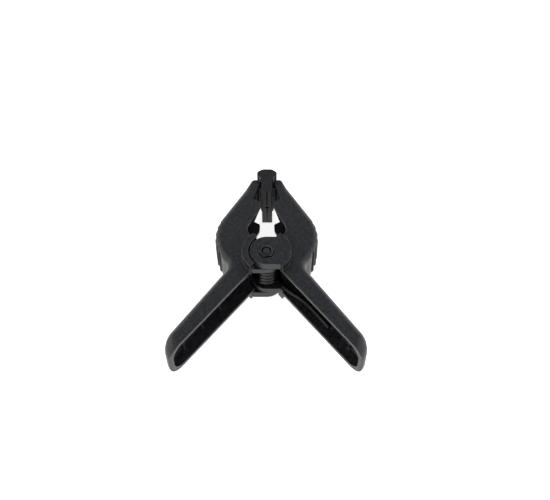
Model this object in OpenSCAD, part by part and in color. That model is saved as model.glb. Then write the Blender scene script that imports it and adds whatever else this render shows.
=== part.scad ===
// Hand spring clamp: two identical moulded halves, lapped at a bolted hinge,
// with a torsion spring between the ears and a swivel pad on each jaw.
// The hinge axis is Z. The jaws point along +Y and the handles along -Y.
// The clamp lies on the plane z = 0.

/* [Shell] */
// Height over the two plates of a half
shell_h = 20.0; // [17:0.1:24]
// Thickness of the plates
plate_t = 1.8; // [1.4:0.1:2.4]
// Thickness of the outer wall between the plates
wall_t = 2.0; // [1.5:0.1:2.6]
// Rounding where the plates meet the outer wall
edge_r = 3.0; // [2:0.1:4]

/* [Bulge] */
// Half width of the clamp at the bulge
bulge_x = 22.9; // [21.5:0.1:24.5]
// Place of the widest point of the bulge
bulge_y = 10.7; // [9.5:0.1:12]
// Radius of the bulge's outer face
bulge_r = 18.7; // [17.5:0.1:21]
// Depth of the grip teeth
tooth_d = 0.9; // [0.3:0.05:1.2]
// Pitch of the grip teeth along the bulge
tooth_p = 3.4; // [2.5:0.1:3.5]
// Number of grip teeth
tooth_n = 6; // [3:1:6]
// Angle to the middle plane's normal at which the teeth begin
tooth_top = 27; // [20:1:30]

/* [Jaw] */
// Angle of the jaw's outer face to the middle plane
jaw_a = 32.5; // [31:0.1:34]
// Length of the jaw's straight outer face
jaw_len = 23.9; // [23:0.1:25.5]
// Radius of the eye at the jaw's tip
eye_r = 2.15; // [1.9:0.05:2.6]
// Radius of the cross bar that carries the pad
bar_r = 1.1; // [0.9:0.05:1.3]
// Length of the fork at the tip, where the outer wall is open
fork_len = 5.0; // [4:0.1:7]
// Distance of the lips from the middle plane
lip_x = 3.35; // [3:0.05:4]
// Front of the lips
lip_y = 28.9; // [28:0.1:30]
// Thickness of the lips along the jaw
lip_t = 1.6; // [1.2:0.1:2.4]
// Distance of the jaw's inner edge from the middle plane behind the lips
neck_x = 3.5; // [3.4:0.1:4.2]
// Place of that point
neck_y = 25.3; // [24:0.1:26.5]
// Depth of the pocket behind the pad's heel
pocket_x = 6.2; // [6:0.1:7]
// Front edge of the pocket's floor
pocket_y = 30.6; // [30.3:0.1:31]
// Half width of the throat at the corner that is rounded
throat_x = 9.9; // [9:0.1:10.4]
// Place of that corner
throat_y = 13.3; // [12.8:0.1:15]
// Rounding of the throat at that point
throat_r = 6.0; // [2:0.5:6.5]

/* [Handle] */
// Angle of the handle's outer face to the middle plane
grip_a = 36.1; // [34:0.1:37.5]
// Distance of that face from the hinge axis
grip_off = 10.3; // [9.8:0.1:11.3]
// Angle of the handle's open rim to the middle plane
rim_a = 39.0; // [38:0.25:40.5]
// Distance of that rim from the hinge axis
rim_off = 0.3; // [0.1:0.1:1]
// Distance of the handle's end from the hinge axis
handle_len = 63.5; // [58:0.5:72]
// Radius of the hollow between bulge and handle
waist_r = 4.25; // [3:0.25:6]
// Radius of the handle's end, seen from above
end_plan_r = 9.25; // [7:0.25:9.5]
// Radius of the handle's end, seen from the side
end_side_r = 8.0; // [6:0.25:8.25]
// Thickness of the wall at the handle's end
end_t = 3.0; // [2.6:0.1:4]
// Radius of the rim's corner at the handle's end
rim_r = 2.0; // [1:0.25:3]
// Height of the ribs on the inside of the outer wall
rib_h = 1.2; // [0.8:0.1:1.6]
// Thickness of those ribs
rib_t = 1.2; // [0.8:0.1:1.6]
// Distance of the first rib from the hinge axis
rib_s = 25.0; // [24:0.5:27]
// Pitch of the ribs
rib_p = 12.5; // [10:0.5:13]
// Number of ribs in a handle
rib_n = 3; // [1:1:3]

/* [Hinge] */
// Height over the outer ears
hinge_h = 28.0; // [26:0.1:32]
// Radius of the ears
ear_r = 7.2; // [6.8:0.1:7.8]
// Thickness of the inner ears
ear_t = 3.0; // [2.4:0.1:3.6]
// Radius of the raised boss round the ears
boss_r = 10.8; // [10.2:0.1:11.6]
// Place of the boss's far ends
boss_x = 4.3; // [4:0.1:5.5]
// Radius of the hubs inside the spring
hub_r = 3.8; // [3:0.1:3.9]
// Gap between an ear and the boss that curves round it
ear_gap = 0.7; // [0.4:0.05:1]
// Gap between faces that slide on each other
slide_gap = 0.3; // [0.2:0.05:0.4]

/* [Bolt and nut] */
// Diameter of the bolt
bolt_d = 4.0; // [3:0.5:4]
// Width of the hexagons across their flats
hex_af = 7.0; // [6:0.1:7.5]
// Height of the bolt's head
head_h = 2.8; // [2:0.1:2.8]
// Depth of the bolt's end below the top of the upper ear
bolt_sunk = 0.2; // [0:0.1:1]
// Height of the nut
nut_h = 3.2; // [2.4:0.1:3.2]
// Turn of the hexagons about the hinge axis
hex_turn = 9.0; // [0:1:59]
// Gap between the bolt and its bores
bolt_fit = 0.08; // [0.03:0.01:0.1]
// Gap between the bolt and the nut
nut_fit = 0.05; // [0.02:0.01:0.1]
// Gap round the hexagons in their pockets
hex_fit = 0.1; // [0.05:0.05:0.3]

/* [Spring] */
// Diameter of the spring's wire
wire_d = 2.0; // [1.6:0.1:2.1]
// Mean radius of the spring's turns
coil_r = 5.5; // [5.2:0.1:5.8]
// Full turns, to which the legs add a half
coil_turns = 4; // [3:1:4]
// Reach of the legs along the handles
leg_s = 38.5; // [30:0.5:42]
// Gap between the spring and what it lies on
spring_fit = 0.05; // [0.02:0.01:0.15]

/* [Pads] */
// Height of the pads
pad_h = 25.4; // [22:0.1:27]
// Thickness of the pads
pad_t = 2.4; // [1.8:0.1:2.4]
// Length of the pads behind their cross bar
heel_len = 7.0; // [6.4:0.05:7.1]
// Length of the pads in front of their cross bar
nose_len = 5.9; // [5:0.05:7]
// Half width of the nose
nose_x = 4.5; // [3.8:0.1:4.8]
// Radius of the nose's front
nose_r = 5.7; // [5.2:0.1:9]
// Rounding of the pads' ends
pad_r = 0.6; // [0.3:0.1:1.6]
// Half of the gap between the closed pads
pad_gap = 0.02; // [0.01:0.01:0.2]
// Wall of the clip that snaps on the cross bar
clip_t = 0.95; // [0.8:0.05:1.1]
// Gap between the clip and its bar
clip_fit = 0.05; // [0.03:0.01:0.1]
// Width of the clip's mouth
clip_mouth = 1.9; // [1.5:0.1:2.1]
// Width of the arm between the clip and its pad
clip_arm = 3.0; // [2:0.1:3.6]

/* [Hidden] */
$fn = 96;
over = 1;
far = 100;
moulding = [0.13, 0.13, 0.14];
steel = [0.09, 0.09, 0.1];
pad_colour = [0.1, 0.1, 0.11];

// Heights
mid_z = hinge_h / 2;
shell_z = mid_z - shell_h / 2;
shell_top = mid_z + shell_h / 2;
ear_top = shell_top - slide_gap;
ear_low = ear_top - ear_t;
pocket_d = head_h;

// Faces that would only touch cross by a lap. Arcs have so many facets, and a rounding so many levels.
lap = 0.03;
facets = 8;
bulge_n = 20;
round_n = 4;
end_n = 3;
back = [-20, 0];

// At the jaw's tip the rounding of the edge fades out, and the eye shows over these angles
tip_len = 6;
tip_edge_r = 1.2;
tip_a = 140;
eye_start = 128;
eye_end = 200;
lip_r = 0.5;

// The bulge is an arc, tangent to the jaw's outer face and to the hollow at the waist
bulge_c = [bulge_x - bulge_r, bulge_y];
jaw_n = [cos(jaw_a), sin(jaw_a)];
jaw_u = [-sin(jaw_a), cos(jaw_a)];
jaw_start = bulge_c + bulge_r * jaw_n;
eye = jaw_start + jaw_len * jaw_u - (eye_r - lap) * jaw_n;
grip_n = [cos(grip_a), sin(grip_a)];
grip_u = [sin(grip_a), -cos(grip_a)];
rim_n = [cos(rim_a), sin(rim_a)];
rim_u = [sin(rim_a), -cos(rim_a)];
pad_y = eye.y - heel_len;
nose_y = eye.y + nose_len;
waist_a = grip_a - acos((grip_off + waist_r - grip_n * bulge_c) / (bulge_r + waist_r));
waist_c = bulge_c + (bulge_r + waist_r) * [cos(waist_a), sin(waist_a)];

// Points that lie a distance s along the handle and d inside its outer face
function on_grip(s, d) = grip_off * grip_n - d * grip_n + s * grip_u;
// Points that lie a distance s along the open rim and d inside it
function on_rim(s, d) = (rim_off + d) * rim_n + s * rim_u;
function cross2(a, b) = a.x * b.y - a.y * b.x;
function meet(p, u, q, v) = p + u * (cross2(q - p, v) / cross2(u, v));
function unit(v) = v / norm(v);
function flat(lists) = [for (l = lists) for (p = l) p];

// An outline from [x, y, radius] corners, each rounded by its radius
function corner(a, b, c, r, n = facets) =
    r <= 0 ? [b] :
    let (u = unit(a - b), v = unit(c - b), half = acos(u * v) / 2,
         o = b + unit(u + v) * r / sin(half),
         s = b + u * r / tan(half) - o, e = b + v * r / tan(half) - o,
         a0 = atan2(s.y, s.x), turn = atan2(cross2(s, e), s * e))
    [for (i = [0:n]) o + r * [cos(a0 + turn * i / n), sin(a0 + turn * i / n)]];
function xy(p) = [p[0], p[1]];
function rounded(pts) = let (n = len(pts))
    flat([for (i = [0:n - 1]) corner(xy(pts[(i + n - 1) % n]), xy(pts[i]), xy(pts[(i + 1) % n]), pts[i][2])]);
function with_r(p, r) = [p.x, p.y, r];

module block(z0, z1) {
    translate([0, 0, z0]) linear_extrude(z1 - z0) children();
}

module plan(z0, z1, pts) {
    block(z0, z1) polygon(pts);
}

// The outer edge of the half, inset by g: rows of [x, y, outward angle, rounding radius]
function at(a) = [cos(a), sin(a)];
function row(p, a, r) = [p.x, p.y, a, r];
function outer_edge(g, tip) = let (
    end_a = rim_a - 90,
    end_c = meet(on_grip(0, end_plan_r), grip_u, on_rim(handle_len - end_plan_r, 0), rim_n))
    concat(tip,
        [row(jaw_start + (jaw_len - tip_len) * jaw_u - g * jaw_n, jaw_a, edge_r)],
        [for (i = [0:bulge_n]) let (a = jaw_a + i * (waist_a - jaw_a) / bulge_n)
            row(bulge_c + (bulge_r - g) * at(a), a, edge_r)],
        [for (i = [1:facets]) let (a = waist_a + i * (grip_a - waist_a) / facets)
            row(waist_c - (waist_r + g) * at(a), a, edge_r)],
        [for (i = [0:facets]) let (a = grip_a + i * (end_a - grip_a) / facets)
            row(end_c + (end_plan_r - g) * at(a), a, edge_r + i * (end_side_r - edge_r) / facets)],
        [row(on_rim(handle_len - g, -end_plan_r), end_a, end_side_r)]);

// How far a rounding of radius r is inset at a distance d from the plate's face
function inset(r, d) = d >= r ? 0 : r - sqrt(r * r - (r - d) * (r - d));

// Levels from the lower plate's face to the upper's, each with its distance from the nearer face
function levels() = let (
    a0 = acos(1 - edge_r / end_side_r),
    steps = concat([for (i = [0:round_n]) edge_r * (1 - cos(90 * i / round_n))],
        [for (i = [1:end_n]) end_side_r * (1 - cos(a0 + i * (90 - a0) / end_n))]))
    concat([for (d = steps) [shell_z + d, d]],
        [for (i = [len(steps) - 1:-1:0]) [shell_top - steps[i], steps[i]]]);

// The half before it is hollowed: its outer edge is rounded towards both plates.
// All its points are seen from the one at the back, which the inner edges cut away.
module outer() {
    edge = outer_edge(0, [for (i = [0:facets]) let (a = tip_a + i * (jaw_a - tip_a) / facets)
        row(eye + eye_r * at(a), a, tip_edge_r)]);
    rings = [for (l = levels()) concat([[back.x, back.y, l[0]]],
        [for (e = edge) let (q = xy(e) - inset(e[3], l[1]) * at(e[2])) [q.x, q.y, l[0]]])];
    n = len(edge) + 1;
    m = len(rings);
    function band(i, k) = let (a = i * n + k, b = i * n + (k + 1) % n) [[a, b, b + n], [a, b + n, a + n]];
    polyhedron(flat(rings), concat(
        flat([for (i = [0:m - 2]) for (k = [0:n - 1]) band(i, k)]),
        [for (k = [1:n - 2]) [0, k + 1, k]],
        [for (k = [1:n - 2]) [(m - 1) * n, (m - 1) * n + k, (m - 1) * n + k + 1]]));
}

// The hollow between the plates is open towards the other half.
// At the fork it runs out through the outer wall, so that the pad can snap on.
module cavity() {
    g = wall_t;
    fork = jaw_start + (jaw_len - fork_len) * jaw_u;
    edge = outer_edge(g, [for (q = [fork + (fork_len + tip_len) * jaw_u + over * jaw_n,
        fork + over * jaw_n, fork - g * jaw_n]) row(q, jaw_a, 0)]);
    difference() {
        plan(shell_z + plate_t, shell_top - plate_t,
            concat([[-far, 0]], [for (e = edge) xy(e)], [on_rim(handle_len - g, -far)]));
        rotate([0, 0, rim_a - 90]) translate([0, far, 0]) rotate([90, 0, 0]) linear_extrude(2 * far)
            polygon(end_cut(handle_len - end_t + lap, end_side_r - wall_t,
                shell_z + plate_t - lap, shell_top - plate_t + lap));
    }
}

// What lies past the hollow's end, seen from the side: its corners are rounded towards both plates
function end_cut(s, r, low, high) = concat([[s - r, low - over]], corner([0, low], [s, low], [s, high], r),
    corner([s, low], [s, high], [0, high], r), [[s - r, high + over], [far, high + over], [far, low - over]]);

// The inner edge of the half runs down beside the boss, and then along the open rim
boss_corner = meet([boss_x, 0], [0, 1], on_rim(0, 0), rim_u);

// What lies inside the half's inner edges: the pad's pocket, the lip, the throat and the open rim
module inner_side() {
    rim_end = corner(boss_corner, on_rim(handle_len + lap, 0), on_rim(handle_len + lap, far), rim_r);
    eye_in = [for (i = [0:facets])
        let (q = eye + (eye_r - lap) * at(eye_start + i * (eye_end - eye_start) / facets)) with_r(q, 0)];
    plan(-over, hinge_h + over, concat(rounded(concat([[-far, far, 0], [eye_in[0].x, far, 0]], eye_in, [
        [pocket_x, pocket_y, lip_r],
        [lip_x, lip_y, lip_r],
        [lip_x, lip_y - lip_t, lip_r],
        [neck_x, neck_y, 0],
        [throat_x, throat_y, throat_r],
        [boss_x, throat_y - throat_x + boss_x, 0],
        with_r(boss_corner, 0)])), rim_end,
        [rim_end[len(rim_end) - 1] + over * rim_u, on_rim(2 * far, 0), [-far, -2 * far]]));
}

// An ear about the hinge axis, with its straight neck to the half
module ear(z0, z1) {
    block(z0, z1) {
        circle(ear_r);
        intersection() {
            translate([0, -ear_r]) square([boss_r, 2 * ear_r]);
            circle((ear_r + ear_gap + boss_r) / 2);
        }
    }
}

module hexagon(af) {
    rotate(hex_turn) circle(d = af / cos(30), $fn = 6);
}

// Saw teeth across the bulge: each falls from its crest to the root of the next
module teeth() {
    step = tooth_p / bulge_r * 180 / PI;
    low = tooth_top - tooth_n * step;
    function on_bulge(a, r) = bulge_c + r * at(a);
    plan(-over, hinge_h + over, concat(
        flat([for (i = [0:tooth_n - 1])
            [on_bulge(tooth_top - i * step, bulge_r - tooth_d), on_bulge(tooth_top - (i + 1) * step, bulge_r + lap)]]),
        [on_bulge(low, far), on_bulge(tooth_top, far)]));
}

module rib(i) {
    s = rib_s + i * rib_p;
    plan(shell_z + plate_t / 2, shell_top - plate_t / 2, [
        on_grip(s - rib_t / 2, wall_t / 2), on_grip(s + rib_t / 2, wall_t / 2),
        on_grip(s + rib_t / 2, wall_t + rib_h), on_grip(s - rib_t / 2, wall_t + rib_h)]);
}

// The right half: its outer ear is on top, its inner ear at the bottom
module half() {
    difference() {
        union() {
            difference() {
                union() {
                    difference() {
                        outer();
                        cavity();
                    }
                    for (i = [0:rib_n - 1]) rib(i);
                    block(shell_top - plate_t, hinge_h) circle(boss_r);
                    block(0, hinge_h - ear_low) circle(boss_r);
                }
                inner_side();
                teeth();
                block(-over, hinge_h + over) circle(ear_r + ear_gap);
            }
            block(shell_z + plate_t / 2, shell_top - plate_t / 2) translate(eye) circle(bar_r);
            ear(shell_top, hinge_h);
            ear(hinge_h - ear_top, hinge_h - ear_low);
            block(hinge_h - ear_top, mid_z - slide_gap / 2) circle(hub_r);
        }
        block(-over, hinge_h + over) circle(bolt_d / 2 + bolt_fit);
        block(hinge_h - pocket_d, hinge_h + over) hexagon(hex_af + 2 * hex_fit);
    }
}

// Turned over about the Y axis, one half makes the other
module turned_over() {
    translate([0, 0, hinge_h]) rotate([0, 180, 0]) children();
}

module right_half() {
    color(moulding) half();
}

module left_half() {
    color(moulding) turned_over() half();
}

// The head lies in the lower half's pocket, which is turned over with that half
module pivot_bolt() {
    color(steel) {
        turned_over() block(hinge_h - head_h, hinge_h) hexagon(hex_af);
        block(head_h - over / 2, hinge_h - bolt_sunk) circle(d = bolt_d);
    }
}

// The nut's corners are chamfered at both faces
module hex_nut() {
    c = (hex_af / cos(30) - hex_af) / 2;
    rise = c * tan(30);
    color(steel) translate([0, 0, hinge_h - pocket_d]) difference() {
        intersection() {
            block(0, nut_h) hexagon(hex_af);
            rotate_extrude() polygon([[0, 0], [hex_af / 2, 0], [hex_af / 2 + c, rise],
                [hex_af / 2 + c, nut_h - rise], [hex_af / 2, nut_h], [0, nut_h]]);
        }
        block(-over, nut_h + over) circle(bolt_d / 2 + nut_fit);
    }
}

// The spring's centre line: a leg from the right handle, the turns, and a leg to the left handle
wire_r = wire_d / 2;
coil_z0 = hinge_h - ear_low + wire_r + spring_fit;
coil_z1 = ear_low - wire_r - spring_fit;
coil_pitch = (coil_z1 - coil_z0) / (coil_turns + 0.5);
leg_d = wall_t + rib_h + wire_r + spring_fit;
leg_drop = 4.5;
// On the ribs: distance along the handle, distance off the ribs, share of the drop
leg_held = [[leg_s, 0, 1], [24, 0, 0.35], [21, 0.3, 0.25], [18.5, 1.1, 0.15]];
// From the ribs to the turns: distance outside the turns, place along Y
leg_free = [[4, -8.7], [1.4, -5.2], [0.3, -2.6]];
function leg(z, drop, s) = concat(
    [for (q = leg_held) let (p = on_grip(q[0], leg_d + q[1])) [s * p.x, p.y, z - drop * q[2]]],
    [for (q = leg_free) [s * (coil_r + q[0]), q[1], z]]);
function reversed(l) = [for (i = [len(l) - 1:-1:0]) l[i]];
ring_n = 8;
coil_path = [for (i = [0:round((coil_turns + 0.5) * ring_n)]) let (t = i / ring_n)
    [coil_r * cos(360 * t), coil_r * sin(360 * t), coil_z0 + coil_pitch * t]];
spring_path = concat(leg(coil_z0, 0, 1), coil_path, reversed(leg(coil_z1, leg_drop, -1)));

function tangent(p, i) = unit(p[min(i + 1, len(p) - 1)] - p[max(i - 1, 0)]);
function ring_at(p, i, r, sides) =
    let (t = tangent(p, i), x = unit(cross(t, [0, 0, 1])), y = cross(x, t))
    [for (k = [0:sides - 1]) p[i] + r * (cos(360 * k / sides) * x + sin(360 * k / sides) * y)];

module tube(path, r, sides) {
    n = len(path);
    points = flat([for (i = [0:n - 1]) ring_at(path, i, r, sides)]);
    walls = flat([for (i = [0:n - 2]) for (k = [0:sides - 1])
        let (a = i * sides + k, b = i * sides + (k + 1) % sides)
        [[a, a + sides, b], [b, a + sides, b + sides]]]);
    ends = flat([for (k = [1:sides - 2]) [[0, k, k + 1],
        [(n - 1) * sides, (n - 1) * sides + k + 1, (n - 1) * sides + k]]]);
    polyhedron(points, concat(walls, ends));
}

// The least gap of the wire to itself, between points more than half a turn apart
self_gap = min([for (i = [0:len(spring_path) - 1]) for (j = [i + ring_n / 2 + 1:1:len(spring_path) - 1])
    norm(spring_path[i] - spring_path[j])]) - wire_d;
echo(least_gap_of_the_spring_to_itself = self_gap);

module torsion_spring() {
    color(steel) tube(spring_path, wire_r, 6);
}

// The right pad: a bar with a rounded nose, and a clip on its back
face_r = 0.4;
heel_r = 0.4;
arm_root = 0.6;
module pad() {
    low = mid_z - pad_h / 2;
    high = mid_z + pad_h / 2;
    eye_clear = eye_r + slide_gap;
    clip_low = shell_z + plate_t + slide_gap;
    clip_high = shell_top - plate_t - slide_gap;
    difference() {
        union() {
            intersection() {
                block(low, high) {
                    polygon(rounded([[pad_gap, pad_y, face_r], [pad_t, pad_y, heel_r],
                                     [pad_t, eye.y + eye_r, 0], [pad_gap, eye.y + eye_r, 0]]));
                    intersection() {
                        translate([0, nose_y - nose_r]) circle(nose_r);
                        translate([pad_gap, eye.y]) square([nose_x - pad_gap, nose_y]);
                    }
                }
                pad_ends(low, high);
            }
        }
        block(low - over, high + over) translate(eye) circle(eye_clear);
    }
    difference() {
        block(clip_low, clip_high) {
            translate(eye) circle(bar_r + clip_fit + clip_t);
            translate([pad_t - arm_root, eye.y - clip_arm / 2]) square([eye.x - pad_t, clip_arm]);
        }
        block(0, hinge_h) {
            translate(eye) circle(bar_r + clip_fit);
            translate([eye.x, eye.y - clip_mouth / 2]) square([eye_r * 2, clip_mouth]);
        }
    }
}

// The pad's upper and lower ends are rounded towards its heel and its nose
module pad_ends(low, high) {
    h = high - low;
    len = nose_y - pad_y;
    translate([-over, 0, 0]) rotate([90, 0, 90]) linear_extrude(nose_x + 2 * over) {
        translate([pad_y + pad_r, low]) square([len - 2 * pad_r, h]);
        translate([pad_y, low + pad_r]) square([len, h - 2 * pad_r]);
        for (y = [pad_y + pad_r, nose_y - pad_r]) for (z = [low + pad_r, high - pad_r])
            translate([y, z]) circle(pad_r);
    }
}

module right_pad() {
    color(pad_colour) pad();
}

module left_pad() {
    color(pad_colour) turned_over() pad();
}

left_half();
right_half();
pivot_bolt();
hex_nut();
torsion_spring();
left_pad();
right_pad();
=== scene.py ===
import math

import bpy
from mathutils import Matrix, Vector


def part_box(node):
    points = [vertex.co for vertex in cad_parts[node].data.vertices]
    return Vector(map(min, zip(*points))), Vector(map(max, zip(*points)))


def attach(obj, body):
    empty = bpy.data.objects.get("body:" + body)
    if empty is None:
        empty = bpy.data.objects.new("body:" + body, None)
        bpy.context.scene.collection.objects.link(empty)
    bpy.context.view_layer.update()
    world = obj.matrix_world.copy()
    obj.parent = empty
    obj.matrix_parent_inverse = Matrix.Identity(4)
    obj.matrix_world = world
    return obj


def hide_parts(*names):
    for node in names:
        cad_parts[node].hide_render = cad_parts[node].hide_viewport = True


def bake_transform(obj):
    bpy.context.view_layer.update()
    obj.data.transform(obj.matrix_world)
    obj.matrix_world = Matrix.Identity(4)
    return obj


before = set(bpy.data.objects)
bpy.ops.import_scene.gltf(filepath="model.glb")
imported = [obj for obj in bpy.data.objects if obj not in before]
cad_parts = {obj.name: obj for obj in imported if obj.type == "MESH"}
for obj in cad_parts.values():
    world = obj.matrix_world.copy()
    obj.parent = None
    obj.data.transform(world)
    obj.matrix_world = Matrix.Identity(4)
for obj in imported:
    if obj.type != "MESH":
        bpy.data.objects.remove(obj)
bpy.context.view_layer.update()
mm = 0.001

# ---------------------------------------------------------------- Moulded halves
# Each half is one moulding in black nylon: two plates and an outer wall, open towards the other
# half, with its ears at the hinge. One half is the other turned over. The mould leaves every
# edge a little round. The rounded edges are painted lighter: partly polish from handling, and
# partly a painted highlight along the rims and the ring of the boss.
mould_edge = 0.22 * mm
edge_steps = 3
sharp_angle = math.radians(34)
smooth_angle = math.radians(32)
flat_angle = math.radians(1)
weld = 0.02 * mm
speck = weld / 20
# Neighbouring faces lie folded on each other where their normals' dot product is under this
folded = -0.8
fold_passes = 8


def select_only(piece):
    """Leaves one piece selected, and makes it the active one."""
    bpy.ops.object.select_all(action="DESELECT")
    piece.select_set(True)
    bpy.context.view_layer.objects.active = piece


def cast_from(node, name):
    """A copy of a CAD node's mesh as one clean skin, named for the piece."""
    piece = bpy.data.objects.new(name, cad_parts[node].data.copy())
    bpy.context.scene.collection.objects.link(piece)
    select_only(piece)
    bpy.ops.object.mode_set(mode="EDIT")
    bpy.ops.mesh.select_all(action="SELECT")
    bpy.ops.mesh.remove_doubles(threshold=weld)
    bpy.ops.mesh.dissolve_degenerate(threshold=speck)
    bpy.ops.mesh.customdata_custom_splitnormals_clear()
    bpy.ops.mesh.dissolve_limited(angle_limit=flat_angle)
    bpy.ops.mesh.quads_convert_to_tris(quad_method="BEAUTY", ngon_method="BEAUTY")
    bpy.ops.object.mode_set(mode="OBJECT")
    return piece


def draw_in_folds(piece):
    """Takes out slivers that the rounding folded over, by drawing their shortest edge together."""
    mesh = piece.data

    def length(ends):
        return (mesh.vertices[ends[0]].co - mesh.vertices[ends[1]].co).length

    bpy.context.tool_settings.mesh_select_mode = (False, True, False)
    for attempt in range(fold_passes):
        beside = {}
        for face in mesh.polygons:
            for ends in face.edge_keys:
                beside.setdefault(ends, []).append(face)
        short = set()
        for faces in beside.values():
            if len(faces) == 2 and faces[0].normal.dot(faces[1].normal) < folded:
                sliver = min(faces, key=lambda face: face.area)
                short.add(min(sliver.edge_keys, key=length))
        if not short:
            return
        bpy.ops.object.mode_set(mode="EDIT")
        bpy.ops.mesh.select_all(action="DESELECT")
        bpy.ops.object.mode_set(mode="OBJECT")
        for edge in mesh.edges:
            edge.select = edge.key in short
        bpy.ops.object.mode_set(mode="EDIT")
        bpy.ops.mesh.merge(type="COLLAPSE")
        bpy.ops.object.mode_set(mode="OBJECT")


def round_edges(piece, radius):
    """Rounds the sharp edges. The new faces get 1 in the attribute edge, which the painted edge wear
    and highlight read.
    """
    select_only(piece)
    piece.data.materials.clear()
    piece.data.materials.append(None)
    piece.data.materials.append(None)
    rounding = piece.modifiers.new("rounding", "BEVEL")
    rounding.width = radius
    rounding.segments = edge_steps
    rounding.limit_method = "ANGLE"
    rounding.angle_limit = sharp_angle
    rounding.use_clamp_overlap = False
    rounding.material = 1
    bpy.ops.object.modifier_apply(modifier=rounding.name)
    bpy.ops.object.mode_set(mode="EDIT")
    bpy.ops.mesh.select_all(action="SELECT")
    bpy.ops.mesh.dissolve_degenerate(threshold=2 * speck)
    bpy.ops.object.mode_set(mode="OBJECT")
    draw_in_folds(piece)
    bpy.ops.object.mode_set(mode="EDIT")
    bpy.ops.mesh.select_all(action="SELECT")
    bpy.ops.mesh.normals_make_consistent(inside=False)
    bpy.ops.object.mode_set(mode="OBJECT")
    edge = piece.data.attributes.new("edge", "FLOAT", "FACE")
    edge.data.foreach_set("value", [float(face.material_index) for face in piece.data.polygons])
    for face in piece.data.polygons:
        face.material_index = 0
    piece.data.materials.clear()
    bpy.ops.object.shade_smooth_by_angle(angle=smooth_angle)
    flats = piece.modifiers.new("flats", "WEIGHTED_NORMAL")
    flats.keep_sharp = True
    bpy.ops.object.modifier_apply(modifier=flats.name)


def feed(tree, socket, value):
    """Gives a node's socket its value: the output of another node, a colour or a number."""
    if isinstance(value, bpy.types.NodeSocket):
        tree.links.new(value, socket)
    elif isinstance(value, tuple):
        socket.default_value = (*value, 1)
    else:
        socket.default_value = value


def spread(tree, value, source=(0, 1), target=(0, 1)):
    """A value that crosses the target range while the given one crosses the source range."""
    ranged = tree.nodes.new("ShaderNodeMapRange")
    ranged.inputs["From Min"].default_value = source[0]
    ranged.inputs["From Max"].default_value = source[1]
    ranged.inputs["To Min"].default_value = target[0]
    ranged.inputs["To Max"].default_value = target[1]
    feed(tree, ranged.inputs["Value"], value)
    return ranged.outputs["Result"]


def worked_out(tree, operation, first, second):
    """What one operation makes of two values, such as their product or the greater one."""
    maths = tree.nodes.new("ShaderNodeMath")
    maths.operation = operation
    feed(tree, maths.inputs[0], first)
    feed(tree, maths.inputs[1], second)
    return maths.outputs["Value"]


def mixed(tree, share, first, second):
    """A colour that goes from the first to the second as the share goes from 0 to 1."""
    mix = tree.nodes.new("ShaderNodeMix")
    mix.data_type = "RGBA"
    feed(tree, mix.inputs["Factor"], share)
    feed(tree, mix.inputs["A"], first)
    feed(tree, mix.inputs["B"], second)
    return mix.outputs["Result"]


def noise(tree, cells, detail, middle):
    """Noise on the piece's own coordinates, the middle of its range spread over 0 to 1."""
    place = tree.nodes.new("ShaderNodeTexCoord")
    clouds = tree.nodes.new("ShaderNodeTexNoise")
    feed(tree, clouds.inputs["Vector"], place.outputs["Object"])
    feed(tree, clouds.inputs["Scale"], cells)
    feed(tree, clouds.inputs["Detail"], detail)
    return spread(tree, clouds.outputs["Fac"], source=middle)


def empty_group(name, inputs, outputs):
    """A node group with numbers for inputs and outputs, and the two nodes that hold them."""
    group = bpy.data.node_groups.new(name, "ShaderNodeTree")
    for way, sockets in (("INPUT", inputs), ("OUTPUT", outputs)):
        for socket in sockets:
            group.interface.new_socket(socket, in_out=way, socket_type="NodeSocketFloat")
    return group, group.nodes.new("NodeGroupInput"), group.nodes.new("NodeGroupOutput")


def grain_group():
    """Fine grain as a height, and broad patches as a mask, each at a given number of cells a metre."""
    group, given, result = empty_group("grain", ["Fine", "Broad"], ["Height", "Patches"])
    for cells, output, detail in (("Fine", "Height", 3), ("Broad", "Patches", 4)):
        clouds = noise(group, given.outputs[cells], detail, middle=(0.32, 0.68))
        feed(group, result.inputs[output], clouds)
    return group


def wear_and_highlight_group():
    """Where the edges are painted lighter, partly as wear from handling and partly as a painted
    highlight: the attribute edge, broken up by noise.
    """
    group, given, result = empty_group("edge wear", ["Amount"], ["Wear"])
    edge = group.nodes.new("ShaderNodeAttribute")
    edge.attribute_name = "edge"
    rubbed_and_highlight = noise(group, cells=420, detail=5, middle=(0.35, 0.65))
    on_edge = worked_out(group, "MULTIPLY", edge.outputs["Fac"], rubbed_and_highlight)
    wear = worked_out(group, "MULTIPLY", on_edge, given.outputs["Amount"])
    feed(group, result.inputs["Wear"], wear)
    return group


grain = grain_group()
edge_wear_and_highlight = wear_and_highlight_group()


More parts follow.
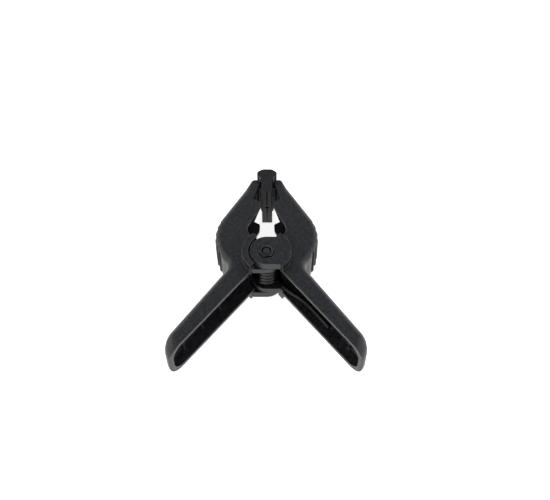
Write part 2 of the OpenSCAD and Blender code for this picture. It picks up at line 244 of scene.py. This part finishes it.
def finish(name, dark, light, fine, broad, depth, gloss, worn_and_highlight=None, wear=0, metal=0, sheen=0.5):
    """A grained finish whose colour and gloss drift. The worn colour, if any, is painted on the rounded
    edges, partly as wear and partly as a painted highlight.
    """
    material = bpy.data.materials.new(name)
    material.use_nodes = True
    tree = material.node_tree
    shader = tree.nodes["Principled BSDF"]
    shader.inputs["Metallic"].default_value = metal
    shader.inputs["Specular IOR Level"].default_value = sheen
    pattern = tree.nodes.new("ShaderNodeGroup")
    pattern.node_tree = grain
    pattern.inputs["Fine"].default_value = fine
    pattern.inputs["Broad"].default_value = broad
    colour = mixed(tree, pattern.outputs["Patches"], dark, light)
    if worn_and_highlight:
        rubbed_and_highlight = tree.nodes.new("ShaderNodeGroup")
        rubbed_and_highlight.node_tree = edge_wear_and_highlight
        rubbed_and_highlight.inputs["Amount"].default_value = wear
        # Rounded edges painted lighter: wear from handling, and partly a painted highlight
        colour = mixed(tree, rubbed_and_highlight.outputs["Wear"], colour, worn_and_highlight)
    bump = tree.nodes.new("ShaderNodeBump")
    bump.inputs["Strength"].default_value = 1
    bump.inputs["Distance"].default_value = depth
    feed(tree, bump.inputs["Height"], pattern.outputs["Height"])
    feed(tree, shader.inputs["Base Color"], colour)
    feed(tree, shader.inputs["Roughness"], spread(tree, pattern.outputs["Patches"], target=gloss))
    feed(tree, shader.inputs["Normal"], bump.outputs["Normal"])
    return material


# The worn colour paints the rounded edges lighter: partly wear, partly a painted highlight on rims and
# boss
nylon = finish("black nylon", dark=(0.001, 0.001, 0.0013), light=(0.018, 0.018, 0.02),
               fine=2200, broad=950, depth=0.025 * mm, gloss=(0.34, 0.5),
               worn_and_highlight=(0.06, 0.06, 0.062), wear=0.9)

for side in ("left", "right"):
    half = cast_from(side + "_half", side + "_moulding")
    round_edges(half, mould_edge)
    half.data.materials.append(nylon)
    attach(half, side)
    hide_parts(side + "_half")

# ---------------------------------------------------------------- Pivot bolt
# An M4 machine bolt in blackened steel, forged, chamfered and rolled with a thread. Its head lies
# in the pocket of the lower ear, and its end comes up inside the nut.
across_flats = 6.45 * mm
hex_turn = math.radians(21)
head_h = 2.8 * mm
head_edge = 0.1 * mm
chamfer_r = 3.25 * mm
chamfer_h = 0.35 * mm
shank_r = 2 * mm
shank_edge = 0.05 * mm
core_r = 1.62 * mm
end_taper = 0.15 * mm
pitch = 0.7 * mm
ridge_r = 0.45 * mm
thread_turns = 26
thread_steps = 32
round_sides = 64
# The cone that chamfers a hexagon is wider than its corners, and passes the faces left square
past_corners = 1.01
past_faces = 1 * mm
# The worn colour paints the edges of bolt and nut lighter: partly wear, partly a painted highlight
black_oxide = finish("black oxide", dark=(0.05, 0.05, 0.05), light=(0.085, 0.085, 0.085),
                     fine=2400, broad=300, depth=0.01 * mm, gloss=(0.3, 0.44),
                     worn_and_highlight=(0.14, 0.14, 0.14), wear=0.6, metal=1)


def turned(name, rings):
    """A turned solid on the Z axis, drawn out from ring to ring of (radius, height)."""
    radius, height = rings[0]
    bpy.ops.mesh.primitive_circle_add(vertices=round_sides, radius=radius, fill_type="NGON",
                                      location=(0, 0, height))
    piece = bpy.context.active_object
    piece.name = name
    bpy.ops.object.mode_set(mode="EDIT")
    bpy.ops.mesh.select_all(action="SELECT")
    for next_radius, next_height in rings[1:]:
        bpy.ops.mesh.extrude_region_move(TRANSFORM_OT_translate={"value": (0, 0, next_height - height)})
        scale = next_radius / radius
        bpy.ops.transform.resize(value=(scale, scale, 1), center_override=(0, 0, 0))
        radius, height = next_radius, next_height
    bpy.ops.mesh.select_all(action="SELECT")
    bpy.ops.mesh.normals_make_consistent(inside=False)
    bpy.ops.object.mode_set(mode="OBJECT")
    bpy.ops.object.transform_apply(location=True, rotation=True, scale=True)
    return piece


def combine(piece, tool, operation):
    """Cuts the tool out of a piece, or keeps only what both share, and takes the tool away."""
    select_only(piece)
    change = piece.modifiers.new("change", "BOOLEAN")
    change.object = tool
    change.operation = operation
    bpy.ops.object.modifier_apply(modifier=change.name)
    bpy.data.objects.remove(tool)


def hexagon(name, low, high, turn, chamfers):
    """A hexagon from low to high, turned by an angle, with a cone cut at the chamfered faces."""
    corner_r = across_flats / 2 / math.cos(math.pi / 6)
    bpy.ops.mesh.primitive_cylinder_add(vertices=6, radius=corner_r, depth=high - low,
                                        location=(0, 0, (low + high) / 2), rotation=(0, 0, turn))
    piece = bpy.context.active_object
    piece.name = name
    bpy.ops.object.transform_apply(location=True, rotation=True, scale=True)
    wide = corner_r * past_corners
    rings = [(wide, low - past_faces), (wide, high + past_faces)]
    if "low" in chamfers:
        rings[:1] = [(chamfer_r, low), (wide, low + chamfer_h)]
    if "high" in chamfers:
        rings[-1:] = [(wide, high - chamfer_h), (chamfer_r, high)]
    combine(piece, turned("chamfers", rings), "INTERSECT")
    return piece


bolt_low, bolt_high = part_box("pivot_bolt")
thread_high = bolt_high.z - 2 * end_taper
thread_low = thread_high - thread_turns * pitch
bolt = hexagon("bolt", bolt_low.z, bolt_low.z + head_h, hex_turn, ["low"])
round_edges(bolt, head_edge)
shank = turned("shank", [(shank_r, bolt_low.z + head_h / 2),
                         (shank_r, thread_low - end_taper),
                         (core_r, thread_low),
                         (core_r, bolt_high.z - end_taper),
                         (core_r - end_taper, bolt_high.z)])
round_edges(shank, shank_edge)
# The thread's ridge: a triangle with one corner outwards, drawn up round the shank
bpy.ops.mesh.primitive_circle_add(vertices=3, radius=ridge_r,
                                  location=(shank_r - ridge_r, 0, thread_low),
                                  rotation=(-math.pi / 2, -math.pi / 2, 0))
thread = bpy.context.active_object
bpy.ops.object.transform_apply(location=True, rotation=True, scale=True)
rolled = thread.modifiers.new("rolled", "SCREW")
rolled.screw_offset = pitch
rolled.iterations = thread_turns
rolled.steps = thread_steps
rolled.render_steps = thread_steps
bpy.ops.object.modifier_apply(modifier=rolled.name)
bpy.ops.object.mode_set(mode="EDIT")
bpy.ops.mesh.select_all(action="SELECT")
bpy.ops.mesh.fill_holes(sides=3)
bpy.ops.mesh.normals_make_consistent(inside=False)
bpy.ops.object.mode_set(mode="OBJECT")
select_only(bolt)
shank.select_set(True)
thread.select_set(True)
bpy.ops.object.join()
bolt.data.materials.append(black_oxide)
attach(bolt, "left")
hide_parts("pivot_bolt")

# ---------------------------------------------------------------- Hex nut
# An M4 nut in the same finish, chamfered at both faces and countersunk, in the pocket of the
# upper ear.
bore_gap = 0.02 * mm
bore_r = shank_r + bore_gap
sink_r = 2.25 * mm
sink_h = 0.35 * mm
sink_proud = 0.01 * mm
nut_edge = 0.08 * mm
nut_low, nut_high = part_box("hex_nut")
nut = hexagon("nut", nut_low.z, nut_high.z, -hex_turn, ["low", "high"])
bore = turned("bore", [(sink_r, nut_low.z - sink_proud),
                       (bore_r, nut_low.z + sink_h),
                       (bore_r, nut_high.z - sink_h),
                       (sink_r, nut_high.z + sink_proud)])
combine(nut, bore, "DIFFERENCE")
round_edges(nut, nut_edge)
nut.data.materials.append(black_oxide)
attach(nut, "right")
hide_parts("hex_nut")

# ---------------------------------------------------------------- Torsion spring
# Four and a half turns of blackened spring wire in the open between the inner ears, with one
# leg on the ribs of each grip. The wire is drawn, coiled and cut off square.
wire_r = 1 * mm
wire_steps = 6
cut_angle = math.radians(50)
coil_r = 5.5 * mm
coil_turns = 4.5
steps_a_turn = 48
spring_low, spring_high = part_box("torsion_spring")
coil_low = spring_low.z + wire_r
coil_high = spring_high.z - wire_r
# The grip's outer face: its slope, its distance from the hinge axis, and the wire's depth under it
grip_angle = math.radians(36.1)
grip_offset = 10.3 * mm
wire_depth = 4.25 * mm
# How far the left leg runs down from the last turn to its end
leg_drop = 4.5 * mm
# On the ribs, in mm: distance along the handle, distance off the ribs, share of the drop
leg_held = [(38.2, 0, 1), (30, 0.25, 0.6), (20.4, 0.8, 0.25)]
# From the ribs to the turns, in mm: distance outside the turns, place along Y
leg_free = [(4.8, -9.4), (1.4, -5.2), (0.3, -2.6)]
# Each bend in a leg is rounded by cutting its corner off this share of the way along, twice
corner_cut = 0.25
corner_passes = 2
spring_steel = finish("spring steel", dark=(0.022, 0.022, 0.022), light=(0.044, 0.044, 0.044),
                      fine=1800, broad=260, depth=0.008 * mm, gloss=(0.16, 0.28), metal=1)


def leg(z, drop, side):
    """A leg's points from its end in the grip to the turns. Its side is 1 right and -1 left."""
    out = Vector((math.cos(grip_angle), math.sin(grip_angle)))
    along = Vector((math.sin(grip_angle), -math.cos(grip_angle)))
    points = []
    for reach, off, share in leg_held:
        place = (grip_offset - wire_depth - off * mm) * out + reach * mm * along
        points.append(Vector((side * place.x, place.y, z - drop * share)))
    for off, y in leg_free:
        points.append(Vector((side * (coil_r + off * mm), y * mm, z)))
    return points


def eased(points):
    """The same route with its corners cut off, which bends the wire as a former would."""
    for attempt in range(corner_passes):
        cuts = []
        for a, b in zip(points, points[1:]):
            cuts += [a.lerp(b, corner_cut), a.lerp(b, 1 - corner_cut)]
        points = [points[0]] + cuts + [points[-1]]
    return points


turns = [2 * math.pi * step / steps_a_turn for step in range(round(coil_turns * steps_a_turn) + 1)]
coil = []
for turn in turns:
    z = coil_low + (coil_high - coil_low) * turn / turns[-1]
    coil.append(Vector((coil_r * math.cos(turn), coil_r * math.sin(turn), z)))
right_leg = leg(coil_low, 0, 1)
left_leg = leg(coil_high, leg_drop, -1)
route = eased(right_leg + coil[:1]) + coil[1:-1] + eased(coil[-1:] + left_leg[::-1])
curve = bpy.data.curves.new("wire", "CURVE")
curve.dimensions = "3D"
curve.bevel_depth = wire_r
curve.bevel_resolution = wire_steps
curve.use_fill_caps = True
line = curve.splines.new("POLY")
line.points.add(len(route) - 1)
for point, place in zip(line.points, route):
    point.co = (*place, 1)
spring = bpy.data.objects.new("spring", curve)
bpy.context.scene.collection.objects.link(spring)
select_only(spring)
bpy.ops.object.convert(target="MESH")
spring = bpy.context.view_layer.objects.active
bpy.ops.object.shade_smooth_by_angle(angle=cut_angle)
spring.data.materials.clear()
spring.data.materials.append(spring_steel)
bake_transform(spring)
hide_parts("torsion_spring")

# ---------------------------------------------------------------- Jaw pads
# Each pad is a bar of slightly softer plastic with a rounded nose. A clip on its back snaps on
# the cross bar in the jaw's fork, on which the pad swivels. The mould's gate has left a nick at
# mid height, and the spring holds the faces together.
pad_edge = 0.07 * mm
gate_nick = (1.9 * mm, 1.1 * mm, 0.9 * mm)
# The spring leaves no gap: corners this near the middle plane are moved on to it
near_middle = 0.05 * mm
pad_plastic = finish("pad plastic", dark=(0.004, 0.004, 0.0045), light=(0.009, 0.009, 0.01),
                     fine=2600, broad=500, depth=0.015 * mm, gloss=(0.38, 0.5),
                     worn_and_highlight=(0.02, 0.02, 0.021), wear=0.5, sheen=0.42)

for side in ("left", "right"):
    pad = cast_from(side + "_pad", side + "_jaw_pad")
    for corner in pad.data.vertices:
        if abs(corner.co.x) < near_middle:
            corner.co.x = 0
    low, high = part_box(side + "_pad")
    bpy.ops.mesh.primitive_cube_add(size=1, location=(0, low.y, (low.z + high.z) / 2), scale=gate_nick)
    combine(pad, bpy.context.active_object, "DIFFERENCE")
    round_edges(pad, pad_edge)
    pad.data.materials.append(pad_plastic)
    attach(pad, side + "_swivel")
    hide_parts(side + "_pad")

# ---------------------------------------------------------------- Floor, light and camera
# A white table in a light tent. The clamp mirrors white near the horizon and a greyer roof above,
# and the table keeps its shadow. Three wide lamps give the shadow and the sheen a direction.
table_width = 4
table_colour = (0.9, 0.9, 0.9)
table_glow = 0.75
air_colour = (0.7, 0.7, 0.71)
roof_colour = (0.38, 0.4, 0.47)
roof_rise = (0.35, 0.75)
lamps_aim = Vector((0, 0, 10 * mm))
camera_place = (3.715 * mm, -218.2 * mm, 364.2 * mm)
camera_tilt = math.radians(33)
focal_length = 60.6
sensor_width = 36


def seen_white(tree):
    """1 for the rays that show the background itself: from the camera, reflected or through glass."""
    path = tree.nodes.new("ShaderNodeLightPath")
    seen = path.outputs["Is Camera Ray"]
    for kind in ("Is Glossy Ray", "Is Transmission Ray"):
        seen = worked_out(tree, "MAXIMUM", seen, path.outputs[kind])
    return seen


bpy.ops.object.select_all(action="DESELECT")
bpy.ops.mesh.primitive_plane_add(size=table_width, location=(0, 0, 0))
table = bpy.context.active_object
table.name = "table"
white = bpy.data.materials.new("white table")
white.use_nodes = True
tree = white.node_tree
shader = tree.nodes["Principled BSDF"]
shader.inputs["Roughness"].default_value = 1
shader.inputs["Specular IOR Level"].default_value = 0
feed(tree, shader.inputs["Base Color"], table_colour)
feed(tree, shader.inputs["Emission Color"], (1, 1, 1))
glow = worked_out(tree, "MULTIPLY", seen_white(tree), table_glow)
feed(tree, shader.inputs["Emission Strength"], glow)
table.data.materials.append(white)

world = bpy.data.worlds.new("light tent")
bpy.context.scene.world = world
world.use_nodes = True
tree = world.node_tree
air = tree.nodes["Background"]
feed(tree, air.inputs["Color"], air_colour)
way = tree.nodes.new("ShaderNodeTexCoord")
parts = tree.nodes.new("ShaderNodeSeparateXYZ")
feed(tree, parts.inputs["Vector"], way.outputs["Generated"])
height = spread(tree, parts.outputs["Z"], source=roof_rise)
backdrop = tree.nodes.new("ShaderNodeBackground")
feed(tree, backdrop.inputs["Color"], mixed(tree, height, (1, 1, 1), roof_colour))
either = tree.nodes.new("ShaderNodeMixShader")
feed(tree, either.inputs["Fac"], seen_white(tree))
feed(tree, either.inputs[1], air.outputs["Background"])
feed(tree, either.inputs[2], backdrop.outputs["Background"])
feed(tree, tree.nodes["World Output"].inputs["Surface"], either.outputs["Shader"])


def soft_lamp(name, place, size, watts):
    """A round lamp at a place, facing the hinge."""
    lamp = bpy.data.lights.new(name, "AREA")
    lamp.shape = "DISK"
    lamp.size = size
    lamp.energy = watts
    holder = bpy.data.objects.new(name, lamp)
    bpy.context.scene.collection.objects.link(holder)
    holder.location = place
    holder.rotation_euler = (lamps_aim - Vector(place)).to_track_quat("-Z", "Y").to_euler()


soft_lamp("front lamp", place=(-0.3, -0.65, 0.3), size=0.5, watts=1.2)
soft_lamp("left lamp", place=(-0.6, 0.1, 0.4), size=0.6, watts=0.9)
soft_lamp("right lamp", place=(0.6, 0.1, 0.4), size=0.6, watts=0.6)

camera = bpy.data.objects.new("camera", bpy.data.cameras.new("camera"))
bpy.context.scene.collection.objects.link(camera)
camera.location = camera_place
camera.rotation_euler = (camera_tilt, 0, 0)
camera.data.lens = focal_length
camera.data.sensor_width = sensor_width
bpy.context.scene.camera = camera

bpy.context.scene.view_settings.view_transform = "Standard"
